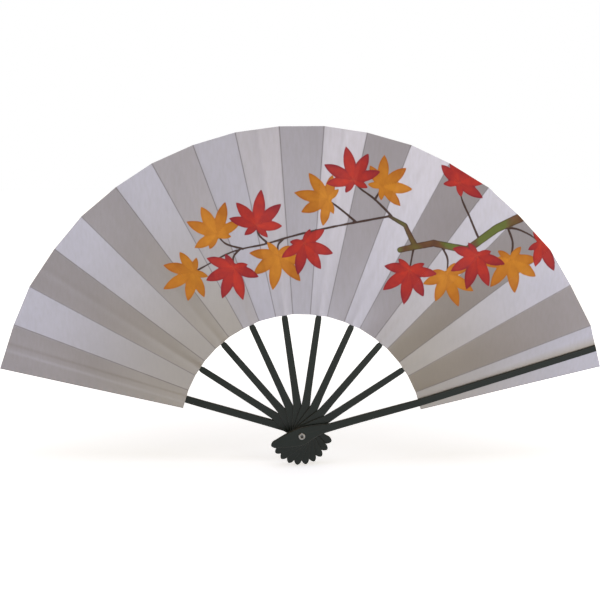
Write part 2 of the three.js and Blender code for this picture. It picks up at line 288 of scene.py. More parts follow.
def silver_paper():
    """Mulberry paper brushed with silver powder, then painted in gouache: a satin grey that brightens where
    it faces light, cloudy at the size of a palm, with painted shade, warmer and darker, at the lower corners
    and a painted shadow of the front guard beside it, with faint fibres, folds darkened partly by wear and
    partly by painted shade, and matt red and orange paint, deeper at the edges and tips of each leaf."""
    material, tree, shader = new_material("silver_powdered_paper")
    spot = add(tree, "ShaderNodeTexCoord").outputs["Object"]
    given = {}
    for name in ("fold", "painted_shade", "red_leaf", "orange_leaf", "branch", "stem", "vein", "tone"):
        given[name] = add(tree, "ShaderNodeAttribute", attribute_name=name).outputs["Fac"]
    # Clouds in the powder are about 40 mm across, fibres 2 mm by 9 mm: drawn coarser than real to show
    cloud = add(tree, "ShaderNodeTexNoise", {"Vector": spot, "Scale": 25.0, "Detail": 3.0})
    drawn = add(tree, "ShaderNodeMapping", {"Vector": spot, "Scale": (480.0, 480.0, 110.0)})
    fibre = add(tree, "ShaderNodeTexNoise", {"Vector": drawn.outputs[0], "Scale": 1.0, "Detail": 3.0})
    # Paint strokes vary over about 7 mm
    stroke = add(tree, "ShaderNodeTexNoise", {"Vector": spot, "Scale": 140.0, "Detail": 2.0})
    # Two tones of each: powder, plain and in painted shade, varies by clouds, and bark and its moss by
    # strokes
    mixed = {}
    for name, noise, one, other in (
        ("unshaded_powder", cloud, "#B1B1BF", "#BDBDCB"),
        ("dulled", cloud, "#A29E9A", "#AEAAA6"),
        ("bark", stroke, "#54332F", "#8A6238"),
        ("moss", stroke, "#5A6A30", "#7C8C38"),
    ):
        sockets = {0: noise.outputs["Fac"], 6: linear(one), 7: linear(other)}
        mixed[name] = add(tree, "ShaderNodeMix", sockets, data_type="RGBA").outputs[2]
    thread = add(
        tree,
        "ShaderNodeMapRange",
        {"Value": fibre.outputs["Fac"], "From Min": 0.35, "From Max": 0.75, "To Max": 0.2},
    )
    # Folds are darkened partly by wear and partly by painted shade in the creases
    fold_wear_and_shade = add(
        tree,
        "ShaderNodeMapRange",
        {"Value": given["fold"], "From Min": 0.75, "From Max": 0.1, "To Max": 0.55},
        interpolation_type="SMOOTHSTEP",
    )
    paper = mixed["unshaded_powder"]
    # Over the powder: painted shade in the dulled tone at the lower corners and beside the front guard,
    # fibres, and folds darkened partly by wear and partly by painted shade
    for share, over in (
        (given["painted_shade"], mixed["dulled"]),
        (thread.outputs[0], linear("#A09F9F")),
        (fold_wear_and_shade.outputs[0], linear("#6A6568")),
    ):
        paper = add(tree, "ShaderNodeMix", {0: share, 6: paper, 7: over}, data_type="RGBA").outputs[2]
    # Each painted shape is its signed distance in millimetres, with an edge as soft as a brush leaves
    masks = {}
    for name in ("branch", "orange_leaf", "red_leaf"):
        rough = add(
            tree,
            "ShaderNodeMath",
            {0: stroke.outputs["Fac"], 1: 0.7, 2: given[name]},
            operation="MULTIPLY_ADD",
        )
        masks[name] = add(
            tree,
            "ShaderNodeMapRange",
            {"Value": rough.outputs[0], "From Min": 0.6, "From Max": 0.1},
            interpolation_type="SMOOTHSTEP",
        ).outputs[0]
    veined = add(
        tree,
        "ShaderNodeMapRange",
        {"Value": given["vein"], "From Min": 0.55, "From Max": 0.15, "To Max": 0.25},
    ).outputs[0]
    # Moss grows where the wood is thick, in patches about 30 mm long
    growth = add(tree, "ShaderNodeTexNoise", {"Vector": spot, "Scale": 33.0, "Detail": 1.0})
    patch = add(
        tree, "ShaderNodeMapRange", {"Value": growth.outputs["Fac"], "From Min": 0.48, "From Max": 0.58}
    )
    thick = add(tree, "ShaderNodeMapRange", {"Value": given["stem"], "From Min": 1.2, "From Max": 2.4})
    mossy = add(tree, "ShaderNodeMath", {0: patch.outputs[0], 1: thick.outputs[0]}, operation="MULTIPLY")
    # A darker line is drawn along the branch's edge
    drawn_edge = add(
        tree,
        "ShaderNodeMapRange",
        {"Value": given["branch"], "From Min": -1.3, "From Max": -0.3, "To Max": 0.6},
    )
    # A thin twig is dark, and thicker wood shows its bark
    wood = linear("#473634")
    for share, over in (
        (thick.outputs[0], mixed["bark"]),
        (mossy.outputs[0], mixed["moss"]),
        (drawn_edge.outputs[0], linear("#46302E")),
    ):
        wood = add(tree, "ShaderNodeMix", {0: share, 6: wood, 7: over}, data_type="RGBA").outputs[2]
    base = add(tree, "ShaderNodeMix", {0: masks["branch"], 6: paper, 7: wood}, data_type="RGBA")
    colour = base.outputs[2]
    # The paint is laid on unevenly, lighter and darker from stroke to stroke
    uneven = add(
        tree, "ShaderNodeMapRange", {"Value": stroke.outputs["Fac"], "To Min": -0.4, "To Max": 0.4}
    )
    laid = add(tree, "ShaderNodeMath", {0: given["tone"], 1: uneven.outputs[0]}, operation="ADD")
    tints = {
        "orange_leaf": ("#C4701C", "#EA9D2B", "#C9701E"),
        "red_leaf": ("#931C33", "#DA3B2C", "#D2603C"),
    }
    for name, (deep, light, line) in tints.items():
        paint = add(
            tree, "ShaderNodeMix", {0: laid.outputs[0], 6: linear(deep), 7: linear(light)}, data_type="RGBA"
        )
        lined = add(
            tree, "ShaderNodeMix", {0: veined, 6: paint.outputs[2], 7: linear(line)}, data_type="RGBA"
        )
        over = add(
            tree, "ShaderNodeMix", {0: masks[name], 6: colour, 7: lined.outputs[2]}, data_type="RGBA"
        )
        colour = over.outputs[2]
    leaves = add(
        tree, "ShaderNodeMath", {0: masks["orange_leaf"], 1: masks["red_leaf"]}, operation="MAXIMUM"
    )
    painted = add(tree, "ShaderNodeMath", {0: leaves.outputs[0], 1: masks["branch"]}, operation="MAXIMUM")
    metal = add(tree, "ShaderNodeMapRange", {"Value": painted.outputs[0], "To Min": 0.7, "To Max": 0.0})
    satin = add(tree, "ShaderNodeMapRange", {"Value": fibre.outputs["Fac"], "To Min": 0.38, "To Max": 0.48})
    matt = add(tree, "ShaderNodeMix", {0: painted.outputs[0], 2: satin.outputs[0], 3: 0.62})
    relief = add(
        tree, "ShaderNodeBump", {"Height": fibre.outputs["Fac"], "Strength": 0.07, "Distance": 0.0003}
    )
    tree.links.new(colour, shader.inputs["Base Color"])
    tree.links.new(metal.outputs[0], shader.inputs["Metallic"])
    tree.links.new(matt.outputs[0], shader.inputs["Roughness"])
    tree.links.new(relief.outputs[0], shader.inputs["Normal"])
    return material


def pressed_metal(name, bright, dull, low, high):
    """Soft metal pressed to shape: a grey shine, dulled in patches by handling and covered in fine marks."""
    material, tree, shader = new_material(name)
    spot = add(tree, "ShaderNodeTexCoord").outputs["Object"]
    # Dull patches are about 0.8 mm across, fine marks 0.15 mm apart
    patch = add(tree, "ShaderNodeTexNoise", {"Vector": spot, "Scale": 1200.0, "Detail": 3.0})
    mark = add(tree, "ShaderNodeTexNoise", {"Vector": spot, "Scale": 6500.0, "Detail": 1.0})
    colour = add(
        tree,
        "ShaderNodeMix",
        {0: patch.outputs["Fac"], 6: linear(bright), 7: linear(dull)},
        data_type="RGBA",
    )
    rough = add(tree, "ShaderNodeMapRange", {"Value": patch.outputs["Fac"], "To Min": low, "To Max": high})
    relief = add(
        tree, "ShaderNodeBump", {"Height": mark.outputs["Fac"], "Strength": 0.15, "Distance": 0.00005}
    )
    tree.links.new(colour.outputs[2], shader.inputs["Base Color"])
    tree.links.new(rough.outputs[0], shader.inputs["Roughness"])
    tree.links.new(relief.outputs[0], shader.inputs["Normal"])
    shader.inputs["Metallic"].default_value = 1.0
    return material


LACQUER = black_lacquer()
PAPER = silver_paper()
NICKEL = pressed_metal("nickelled_brass", "#A9A8A5", "#807E7B", 0.24, 0.4)
LEAD = pressed_metal("cast_lead", "#7C7F84", "#5C5F63", 0.5, 0.7)


# Ribs and guards

# Across a rib's face, from its left edge to its right, as shares of its half-width. The hole lies between
# two of them
HOLE_SHARE = 0.24
FACE_SHARES = np.array([1, 0.93, 0.7, 0.45, HOLE_SHARE, 0, -HOLE_SHARE, -0.45, -0.7, -0.93, -1])
EDGE_TURNS = np.radians([60, 30, 0])
# An edge's rounding is a share of the thickness, and no more than a share of the half-width
ROUND_OF_THICK = 0.28
ROUND_OF_WIDTH = 0.4
# How many sections are drawn over each stretch of a rib, and the length that counts as its tip
PLACES = {
    "tail": 10,
    "heel": 14,
    "hole": 5,
    "head": 16,
    "shoulder": 9,
    "neck": 24,
    "taper": 12,
    "leaf": 36,
    "tip": 7,
}
TIP_LENGTH = 3.0
# A tip narrows over a length that ends past it. A tongue's is round and a guard's nearly square
TONGUE_END_LENGTH = 3.4
TONGUE_END_PAST = 0.4
GUARD_END_LENGTH = 3.0
GUARD_END_PAST = 2.4
GUARD_END_CURVE = 0.15
# The lacquer's pattern moves on by this much from rib to rib, so that no two look the same
PATTERN_STEP = 40.0


def section_shares():
    """A rounded section once round, from the front's left edge: shares of the flat half-width, of the
    edge's radius sideways, of the flat half-thickness and of the edge's radius in depth."""
    faces = len(FACE_SHARES)
    turns = np.concatenate([EDGE_TURNS, -EDGE_TURNS[::-1]])
    sides = np.repeat([1, -1], len(EDGE_TURNS))
    none = np.zeros(faces)
    full = np.ones(faces)
    flat = np.concatenate([FACE_SHARES, -np.ones(len(turns)), FACE_SHARES[::-1], np.ones(len(turns))])
    out = np.concatenate([none, -np.cos(turns), none, np.cos(turns)])
    deep = np.concatenate([full, sides, -full, -sides])
    round_ = np.concatenate([full, np.sin(turns), -full, -np.sin(turns)])
    return flat, out, deep, round_


def blade_places(tip, tail_length):
    """Places along a rib where a section is drawn: even over each stretch, and closer round the tail and
    the tip, by a cosine and a sine."""
    tail_turn = np.linspace(0, math.pi / 2, PLACES["tail"])
    tip_turn = np.linspace(0, math.pi / 2, PLACES["tip"])
    tail = -tail_length + TAIL_ROUND * (1 - np.cos(tail_turn))
    heel = np.linspace(-(tail_length - TAIL_ROUND), -HOLE_RADIUS, PLACES["heel"])[1:-1]
    hole = np.linspace(-HOLE_RADIUS, HOLE_RADIUS, PLACES["hole"])
    head = np.linspace(HOLE_RADIUS, SHOULDER, PLACES["head"])[1:]
    shoulder = np.linspace(SHOULDER, NECK_START, PLACES["shoulder"])[1:]
    neck = np.linspace(NECK_START, TAPER_START, PLACES["neck"])[1:]
    taper = np.linspace(TAPER_START, TAPER_START + TAPER_LENGTH, PLACES["taper"])[1:]
    leaf = np.linspace(TAPER_START + TAPER_LENGTH, tip - TIP_LENGTH, PLACES["leaf"])[1:]
    end = tip - TIP_LENGTH + TIP_LENGTH * np.sin(tip_turn)[1:]
    return np.concatenate([tail, heel, hole, head, shoulder, neck, taper, leaf, end])


def head_half(x, neck_width, leaf_width, tail_width, tail_length):
    """Half the width of a rib's outline: a tail that narrows to its tip, a head widest at the eyelet, and a
    neck that narrows evenly to the leaf. The tail's share is (1 - t^2)^curve and the head's is t^curve,
    where t runs from 0 to 1 along each."""
    tail_start = tail_length - TAIL_ROUND
    t = np.clip((-x - tail_start) / TAIL_ROUND, 0, 1)
    tail = mix(TAIL_TIP_WIDTH, tail_width, (1 - t * t) ** TAIL_CURVE) / 2
    heel = mix(HEAD_WIDTH, tail_width, np.clip(-x / tail_start, 0, 1) ** HEEL_CURVE) / 2
    head = mix(HEAD_WIDTH, SHOULDER_WIDTH, np.clip(x / SHOULDER, 0, 1) ** SHOULDER_CURVE) / 2
    shoulder = mix(SHOULDER_WIDTH, neck_width, (x - SHOULDER) / SHOULDER_RUN) / 2
    neck = mix(neck_width, leaf_width, (x - NECK_START) / (NECK_END - NECK_START)) / 2
    stretches = [x <= -tail_start, x <= 0, x <= SHOULDER, x <= NECK_START]
    return np.select(stretches, [tail, heel, head, shoulder], neck)


def rounded_section(left_half, right_half, front, back):
    """Across and depth of the rounded section at each place along a bar.

    Across is flat share times (half - r) plus edge share times r, and depth is the same with half the
    thickness, where r is the edge's rounding."""
    flat, out, deep, round_ = section_shares()
    thick = front - back
    r = np.minimum(ROUND_OF_THICK * thick, ROUND_OF_WIDTH * np.minimum(left_half, right_half))[:, None]
    half = np.where(flat > 0, left_half[:, None], right_half[:, None])
    across = flat * (half - r) + out * r
    depth = (front + back)[:, None] / 2 + deep * (thick[:, None] / 2 - r) + round_ * r
    return across, depth


def bar_faces(rows, count):
    """Point numbers of a bar's sections, the faces between one section and the next, and the two end
    caps."""
    index = np.arange(rows * count).reshape(rows, count)
    beside = np.roll(index, -1, axis=1)
    skin = np.stack([index[:-1], beside[:-1], beside[1:], index[1:]], axis=-1)
    return index, skin, [index[0, ::-1].tolist(), index[-1].tolist()]


def blade(name, k, x, left_half, right_half, front, back, bend=0.0):
    """A lacquered blade: the rounded section carried along x, moved to its left by the bend, turned about x
    by the rib's twist, with a round hole at the eyelet. The bend is a soft step from the shoulder on, and
    the twist is one from 0 to the slope of the rib's panel."""
    across, depth = rounded_section(left_half, right_half, front, back)
    across = across + bend * smooth((x - SHOULDER) / GUARD_BEND_LENGTH)[:, None]
    count = across.shape[1]
    length = np.repeat(x[:, None], count, axis=1)
    faces = len(FACE_SHARES)
    # The block of cells over the hole on the front, and the matching columns on the back
    first = int(np.argmin(np.abs(x + HOLE_RADIUS)))
    last = int(np.argmin(np.abs(x - HOLE_RADIUS)))
    left = int(np.argmin(np.abs(FACE_SHARES - HOLE_SHARE)))
    right = faces - 1 - left
    rows = np.concatenate(
        [
            np.arange(first, last),
            np.full(right - left, last),
            np.arange(last, first, -1),
            np.full(right - left, first),
        ]
    )
    columns = np.concatenate(
        [
            np.full(last - first, right),
            np.arange(right, left, -1),
            np.full(last - first, left),
            np.arange(left, right),
        ]
    )
    mirrored = 2 * faces + 2 * len(EDGE_TURNS) - 1
    behind = mirrored - columns
    turn = np.arctan2(across[rows, columns], length[rows, columns])
    for side in (columns, behind):
        length[rows, side] = HOLE_RADIUS * np.cos(turn)
        across[rows, side] = HOLE_RADIUS * np.sin(turn)

    twist = (np.arctan(pleat_slope(k, x / HALF_COS)) * smooth((x - TWIST_START) / TWIST_LENGTH))[:, None]
    points = np.stack(
        [
            length,
            across * np.cos(twist) - depth * np.sin(twist),
            across * np.sin(twist) + depth * np.cos(twist),
        ],
        axis=-1,
    )

    index, skin, caps = bar_faces(len(x), count)
    keep = np.ones(skin.shape[:2], bool)
    keep[first:last, left:right] = False
    keep[first:last, mirrored - right : mirrored - left] = False
    loop = index[rows, columns]
    loop_behind = index[rows, behind]
    wall = np.stack([loop, np.roll(loop, -1), np.roll(loop_behind, -1), loop_behind], axis=-1)
    piece = make_piece(
        name,
        on_spoke(points, rib_angle(k), rib_level(k)),
        skin[keep].tolist() + wall.tolist() + caps,
        LACQUER,
    )
    place = np.stack([length, across, depth + PATTERN_STEP * k], axis=-1)
    keep_numbers(piece, "rib_place", place, "FLOAT_VECTOR")
    rounded = np.abs(section_shares()[1]) > 0
    keep_numbers(piece, "rib_edge", np.repeat(rounded[None], len(x), axis=0))
    return piece


def inner_rib(k):
    """A rib between the guards: an even plate to the leaf, then a thin tongue between the leaf's two
    sheets, rounded at its end by the square root of the way left."""
    x = blade_places(TONGUE_TIP, TAIL_LENGTH)
    taper = (x - TAPER_START) / TAPER_LENGTH
    thick = mix(RIB_THICK, TONGUE_THICK, taper)
    tongue = mix(TONGUE_WIDTH, TONGUE_TIP_WIDTH, (x - LEAF_INNER) / (TONGUE_TIP - LEAF_INNER)) / 2
    head = head_half(x, RIB_NECK_WIDTH, RIB_LEAF_WIDTH, TAIL_WIDTH, TAIL_LENGTH)
    half = np.where(x < NECK_END, head, tongue)
    left_over = (TONGUE_TIP + TONGUE_END_PAST - x) / TONGUE_END_LENGTH
    half = half * np.sqrt(np.clip(left_over, 0, 1))
    return blade(f"lacquered_rib_{k + 1}", k, x, half, half, thick / 2, -thick / 2)


def guard(name, k, side, bend):
    """An outer rib, thicker outwards: side is 1 where its inner face is towards the viewer, -1 where it is
    away.

    It stands over the leaf's end panel by the glue line and thins to its tip. On the side away from the
    other ribs its neck runs straight in almost to the eyelet, and it bends to that side on the way to the
    leaf."""
    x = blade_places(GUARD_TIP, GUARD_TAIL_LENGTH)
    taper = (x - TAPER_START) / TAPER_LENGTH
    along = (x - LEAF_INNER) / (GUARD_TIP - LEAF_INNER)
    inner = mix(RIB_THICK / 2 + LACQUER_COVER, -GUARD_LEAF_FACE, taper)
    leaf_thick = mix(GUARD_LEAF_THICK, GUARD_TIP_THICK, along)
    outer = mix(RIB_THICK / 2 - GUARD_THICK, -GUARD_LEAF_FACE - leaf_thick, taper)
    head = head_half(x, GUARD_NECK_WIDTH, GUARD_LEAF_WIDTH, GUARD_TAIL_WIDTH, GUARD_TAIL_LENGTH)
    near = np.where(x < LEAF_INNER, head, mix(GUARD_LEAF_WIDTH, GUARD_TIP_WIDTH, along) / 2)
    left_over = (GUARD_TIP + GUARD_END_PAST - x) / GUARD_END_LENGTH
    near = near * np.clip(left_over, 0, 1) ** GUARD_END_CURVE
    far = np.minimum(near, mix(HEAD_WIDTH, GUARD_NECK_WIDTH, x / GUARD_FLARE) / 2)
    if side > 0:
        return blade(name, k, x, far, near, inner, outer, bend)
    return blade(name, k, x, near, far, -outer, -inner, -bend)


def lead_bar(name, k, side):
    """A cast bar let into a guard's inner face: the rounded section carried along x, drawn in over its last
    WEIGHT_ROUND at both ends by a share of WEIGHT_ROUND * (1 - sqrt(1 - t^2)), where t runs from 0 to 1 at
    the very end."""
    t = np.sin(np.linspace(0, math.pi / 2, WEIGHT_STEPS))
    end = WEIGHT_START + WEIGHT_LENGTH - WEIGHT_ROUND * (1 - t)
    start = WEIGHT_START + WEIGHT_ROUND * (1 - t[::-1])
    x = np.concatenate([start, end])
    drawn = WEIGHT_DRAW * WEIGHT_ROUND * (1 - np.sqrt(1 - np.concatenate([t[::-1], t]) ** 2))
    half = WEIGHT_WIDTH / 2 - drawn
    middle = side * (RIB_THICK - WEIGHT_THICK) / 2
    deep = WEIGHT_THICK / 2 - drawn
    across, depth = rounded_section(half, half, middle + deep, middle - deep)
    points = np.stack([np.repeat(x[:, None], across.shape[1], axis=1), across, depth], axis=-1)
    _, skin, caps = bar_faces(*across.shape)
    return make_piece(
        name, on_spoke(points, rib_angle(k), rib_level(k)), skin.reshape(-1, 4).tolist() + caps, LEAD
    )


for k in range(1, RIB_COUNT - 1):
    rib = inner_rib(k)
    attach(rib, f"rib_{k + 1}")
    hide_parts(f"rib_{k + 1}")
for name, k, side, bend in (
    ("back_guard", 0, 1, BACK_GUARD_BEND),
    ("front_guard", RIB_COUNT - 1, -1, FRONT_GUARD_BEND),
):
    outer_rib = guard(f"lacquered_{name}", k, side, bend)
    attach(outer_rib, name)
    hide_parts(name)
    weight = lead_bar(f"cast_{name}_weight", k, side)
    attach(weight, name)
    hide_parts(f"{name}_weight")


# Eyelet and washer


def turned_ring(name, profile, material, steps=64):
    """A closed profile of radius and height carried once round the eyelet's axis."""
    radius, height = np.array(profile).T
    turn = np.linspace(0, 2 * math.pi, steps, endpoint=False)
    points = np.stack(
        [
            radius[:, None] * np.cos(turn),
            radius[:, None] * np.sin(turn),
            np.repeat(height[:, None], steps, axis=1),
        ],
        axis=-1,
    )
    index = np.arange(points[..., 0].size).reshape(points.shape[:2])
    onward = np.roll(index, -1, axis=0)
    beside = np.roll(index, -1, axis=1)
    corner = np.roll(onward, -1, axis=1)
    faces = np.stack([index, beside, corner, onward], axis=-1).reshape(-1, 4)
    return make_piece(name, points, faces.tolist(), material, crisp=60)


def half_round(inner, outer, base, rise, steps=14):
    """Half an ellipse of radius and height points, from the outer radius over the rise to the inner one."""
    turn = np.linspace(0, math.pi, steps)
    middle = (inner + outer) / 2
    return np.stack([middle + (outer - inner) / 2 * np.cos(turn), base + rise * np.sin(turn)], axis=-1)


def eyelet_profile():
    """A tube with a rolled flange in front and a rolled lip behind, both half ellipses."""
    flange = half_round(EYELET_BORE, FLANGE_RADIUS, FLANGE_BACK, FLANGE_THICK)
    lip = half_round(EYELET_BORE, LIP_RADIUS, LIP_FRONT, -LIP_THICK)[::-1]
    tube = np.array([[EYELET_RADIUS, LIP_FRONT], [EYELET_RADIUS, FLANGE_BACK]])
    return np.concatenate([flange, lip, tube])


def washer_profile():
    """A flat ring with a quarter circle at each of its four edges."""
    hole = EYELET_RADIUS + WASHER_PLAY
    r = WASHER_ROUND
    turn = np.radians([0, 30, 60, 90])
    corners = []
    for radius, height, start in (
        (WASHER_RADIUS - r, WASHER_FRONT - r, 0),
        (hole + r, WASHER_FRONT - r, 90),
        (hole + r, WASHER_BACK + r, 180),
        (WASHER_RADIUS - r, WASHER_BACK + r, 270),
    ):
        a = turn + math.radians(start)
        corners.append(np.stack([radius + r * np.cos(a), height + r * np.sin(a)], axis=-1))
    return np.concatenate(corners)


eyelet = turned_ring("rolled_eyelet", eyelet_profile(), NICKEL)
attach(eyelet, "back_guard")
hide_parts("kaname_eyelet")
washer = turned_ring("eyelet_washer", washer_profile(), NICKEL)
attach(washer, "back_guard")
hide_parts("kaname_washer")


# Painting on the leaf, in the fan's plane at rest

# One maple leaf: each lobe's angle from the middle one in degrees, then its length and half-width as shares
# of the size
LOBES = (
    (0, 1.0, 0.175),
    (43, 0.95, 0.17),
    (-43, 0.95, 0.17),
    (87, 0.8, 0.15),
    (-87, 0.8, 0.15),
    (129, 0.46, 0.1),
    (-129, 0.46, 0.1),
)
# The palm where the lobes meet: its middle ahead of the stalk and its radius, as shares of the size
PALM_AHEAD = 0.1
PALM_RADIUS = 0.23
# Lobes swing by up to this many degrees and stretch by up to this share, and each starts a share of the
# size behind the stalk. The pairs of numbers make the changes from leaf to leaf and from lobe to lobe
LOBE_SWING = 5
SWING_STEPS = (3.1, 1.7)
LOBE_STRETCH = 0.06
STRETCH_STEPS = (2.3, 4.1)
LOBE_ROOT = 0.06
# A vein runs this share of a lobe's length and thins by this many millimetres
VEIN_REACH = 0.8
VEIN_TAPER = 0.4
# The paint's tone: its level at the edge, what it gains inside and loses to the tip, how far lobes differ
# and by what steps, and a plain level away from all leaves
TONE_EDGE = 0.45
TONE_INSIDE = 0.4
TONE_TIP = 0.35
TONE_CHANGE = 0.15
TONE_STEPS = (5.3, 1.9)
TONE_PLAIN = 0.5
# The paint darkens over this share of a lobe's half-width at its edge
DARK_EDGE = 0.4

# Leaves: where the stalk joins (x, y), heading of the middle lobe in degrees, size in millimetres
ORANGE_LEAVES = (
    (178, 152, -82, 29),
    (124, 139, -70, 28),
    (68, 214, 38, 27),
    (22, 203, 168, 28),
    (-20, 156, -98, 30),
    (-72, 173, 118, 29),
    (-92, 141, -150, 28),
)
RED_LEAVES = (
    (203, 166, -18, 27),
    (150, 155, -108, 29),
    (133, 217, 52, 28),
    (92, 143, -100, 29),
    (44, 219, 104, 29),
    (2, 166, -58, 28),
    (-38, 181, 84, 29),
    (-58, 145, -112, 29),
)

# The branch and its twigs: points along each, then its half-width at the start and at the end
BRANCHES = (
    (((214, 206), (186, 187), (166, 178), (141, 160), (112, 166), (84, 160)), 4.4, 2.5),
    (((97, 163), (88, 181), (74, 189)), 2.5, 1.3),
)
TWIGS = (
    ((74, 189), (44, 183), (8, 176), (-28, 166), (-60, 158), (-92, 141)),
    ((76, 189), (62, 203), (50, 212), (44, 219)),
    ((62, 203), (65, 208), (68, 214)),
    ((46, 184), (34, 194), (22, 203)),
    ((168, 178), (182, 178), (194, 173), (203, 166)),
    ((176, 179), (180, 166), (178, 152)),
    ((152, 167), (144, 184), (136, 202), (133, 217)),
    ((144, 161), (149, 158), (150, 155)),
    ((118, 164), (124, 153), (124, 139)),
    ((96, 163), (94, 154), (92, 143)),
    ((12, 177), (6, 172), (2, 166)),
    ((-16, 169), (-20, 164), (-20, 156)),
    ((-30, 167), (-36, 173), (-38, 181)),
    ((-50, 161), (-64, 165), (-72, 173)),
    ((-52, 161), (-58, 154), (-58, 145)),
)
TWIG_WIDE = 1.0
TWIG_NARROW = 0.65
# Steps to a stretch of a twig's curve
CURVE_STEPS = 8
# A distance that means nothing is painted near
FAR = 50.0


def lens(points, base, tip, half_width):
    """Distance to the edge of a pointed lens, less than 0 inside: the overlap of two equal circles that
    pass through base and tip, of radius (L^2 / 4 + w^2) / 2 w for length L and half-width w."""
    along = tip - base
    length = np.hypot(*along)
    across = np.array([-along[1], along[0]]) / length
    radius = (length**2 / 4 + half_width**2) / (2 * half_width)
    reach = across * (radius - half_width)
    middle = (base + tip) / 2
    one = np.hypot(*(points - middle - reach).T)
    other = np.hypot(*(points - middle + reach).T)
    return np.maximum(one, other) - radius


def line_distance(points, start, end):
    """Distance to a straight line between two points, and the share of the way along it."""
    along = end - start
    share = np.clip((points - start) @ along / (along @ along), 0, 1)
    return np.hypot(*(points - start - share[:, None] * along).T), share


def change(n, m, steps):
    """A number from -1 to 1 for leaf n and lobe m: the sine of their numbers times their steps."""
    return math.sin(steps[0] * n + steps[1] * m)


def painted_leaves(points, leaves):
    """Distance to the edge of a set of maple leaves, less than 0 inside, with the distance to the nearest
    vein and the paint's tone. A leaf is the union of a round palm and its lobes, which are lenses from its
    stalk. The tone is even but for a darker edge and tip to each lobe, and differs a little from lobe to
    lobe."""
    edge = np.full(len(points), FAR)
    vein = np.full(len(points), FAR)
    tone = np.full(len(points), TONE_PLAIN)
    for n, (x, y, heading, size) in enumerate(leaves):
        stalk = np.array([x, y], float)
        for m, (angle, reach, wide) in enumerate(LOBES):
            turn = math.radians(heading + angle + LOBE_SWING * change(n, m, SWING_STEPS))
            way = np.array([math.cos(turn), math.sin(turn)])
            length = size * reach * (1 + LOBE_STRETCH * change(n, m, STRETCH_STEPS))
            base = stalk - LOBE_ROOT * size * way
            tip = stalk + length * way
            lobe = lens(points, base, tip, wide * size)
            middle, share = line_distance(points, stalk, stalk + VEIN_REACH * length * way)
            inside = np.clip(-lobe / (DARK_EDGE * wide * size), 0, 1)
            shade = TONE_INSIDE * inside - TONE_TIP * share + TONE_EDGE
            shade = shade + TONE_CHANGE * change(n, m, TONE_STEPS)
            tone = np.where(lobe < edge, shade, tone)
            edge = np.minimum(edge, lobe)
            vein = np.minimum(vein, middle + VEIN_TAPER * share)
        ahead = np.array([math.cos(math.radians(heading)), math.sin(math.radians(heading))])
        palm = np.hypot(*(points - stalk - PALM_AHEAD * size * ahead).T) - PALM_RADIUS * size
        edge = np.minimum(edge, palm)
    return edge, vein, tone


def curve_through(path):
    """Points on a smooth curve through a path's points: a cubic on each stretch, whose slope at a point is
    half the step from the point before to the point after."""
    given = np.array(path, float)
    held = np.concatenate([2 * given[:1] - given[1:2], given, 2 * given[-1:] - given[-2:-1]])
    t = np.linspace(0, 1, CURVE_STEPS, endpoint=False)[:, None, None]
    a, b, c, d = held[:-3], held[1:-2], held[2:-1], held[3:]
    bend = b + 0.5 * t * (c - a + t * (2 * a - 5 * b + 4 * c - d + t * (3 * (b - c) + d - a)))
    return np.concatenate([bend.transpose(1, 0, 2).reshape(-1, 2), given[-1:]])


def painted_branch(points):
    """Distance to the edge of the branch and twigs, less than 0 inside, and the half-width of the nearest
    one. A branch is straight between its kinks, a twig is curved, and the half-width changes evenly along
    each."""
    edge = np.full(len(points), FAR)
    stem = np.zeros(len(points))
    strokes = [(np.array(route, float), wide, narrow) for route, wide, narrow in BRANCHES]
    strokes += [(curve_through(route), TWIG_WIDE, TWIG_NARROW) for route in TWIGS]
    for line, wide, narrow in strokes:
        steps = len(line) - 1
        for i in range(steps):
            distance, share = line_distance(points, line[i], line[i + 1])
            half = mix(wide, narrow, (i + share) / steps)
            stem = np.where(distance - half < edge, half, stem)
            edge = np.minimum(edge, distance - half)
    return edge, stem


# Leaf

LAST_PANEL = 2 * RIB_COUNT - 1
PANEL_ROWS = 161
PANEL_COLUMNS = 41
# Columns crowd towards the folds by this share of a sine
COLUMN_CROWD = 0.35
FOLD_ROUND = 0.8
FREE_HALF_THICK = 0.12
RIB_HALF_THICK = 0.22
# Waves between the folds: their height, their length to a radian, and how they move on from panel to panel
# and across a panel
WAVE = 0.08
WAVE_LENGTH = 17.0
WAVE_STEP = 2.1
WAVE_LEAN = 1.3
# The swell over a rib: its height and half-width, what it gains at the lower edge and over what length, and
# the share of it that shows behind
SWELL = 0.14
SWELL_WIDTH = 3.0
LOWER_SWELL = 0.4
LOWER_LENGTH = 16.0
BACK_SHARE = 0.2
# Over the back guard the swell is level to this distance from its middle, then falls away over this one
GUARD_SWELL_LEVEL = 1.8
GUARD_SWELL_FALL = 2.2
# A free panel bows back by this much. The last panel is held to a distance from the front guard's middle,
# and beyond it hangs hollow by a share of its span
FREE_BOW = 0.2
GUARD_HOLD = 2.0
END_HOLLOW = 0.035
# Painted shade is clear to this angle either side of a middle one, and full past a further spread
PAINTED_SHADE_MIDDLE = math.radians(83)
PAINTED_SHADE_CLEAR = math.radians(26)
PAINTED_SHADE_SPREAD = math.radians(14)
# A painted shadow of the front guard darkens the silver over this width beside it
GUARD_SHADOW_WIDTH = 11.0


def fold_heights(n, radius):
    """Depth of a panel's left and right folds at a distance from the eyelet. A rib's panel rises to its left
    by radius * sin * slope either side of the rib's level, and a free panel joins one such fold to the
    next."""
    k = (n - 1) // 2
    rise = radius * HALF_SIN * pleat_slope(k, radius)
    if n % 2:
        return rib_level(k) + rise, rib_level(k) - rise
    return rib_level(k) - rise, rib_level(k + 1) + radius * HALF_SIN * pleat_slope(k + 1, radius)


def panel_slope(n, radius):
    """How steeply a panel rises to its left, or none where there is no such panel."""
    if not 1 <= n <= LAST_PANEL:
        return None
    left, right = fold_heights(n, radius)
    return (left - right) / (2 * radius * HALF_SIN)


